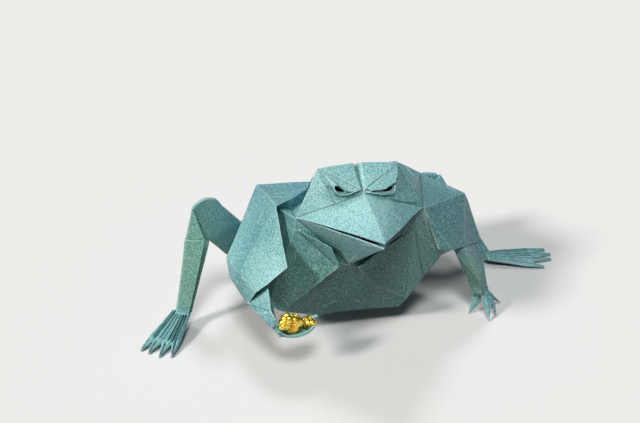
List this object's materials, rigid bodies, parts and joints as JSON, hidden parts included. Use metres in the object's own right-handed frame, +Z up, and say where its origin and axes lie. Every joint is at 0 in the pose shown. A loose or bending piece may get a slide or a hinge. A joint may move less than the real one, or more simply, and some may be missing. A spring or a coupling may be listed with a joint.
{
  "type": "origami frog",
  "caption": "Crouching frog folded from textured paper, with pleated feet, a creased snout with heavy brows, and gold nuggets resting in its raised hand.",
  "frame": {"origin": "middle of the whole figure's footprint, on the surface it stands on", "axes": "+X to the frog's own left, along the span of its feet; -Y the way it looks; +Z up"},
  "size_m": [0.2112, 0.1216, 0.0873],
  "materials": {
    "folded_paper": "pearl-flecked handmade paper, satin",
    "gold": "crinkled native gold, bright"
  },
  "bodies": {
    "root": {"folded_frog": "folded_paper", "gold_nugget_large": "gold", "gold_nugget_small": "gold"}
  },
  "joints": []
}
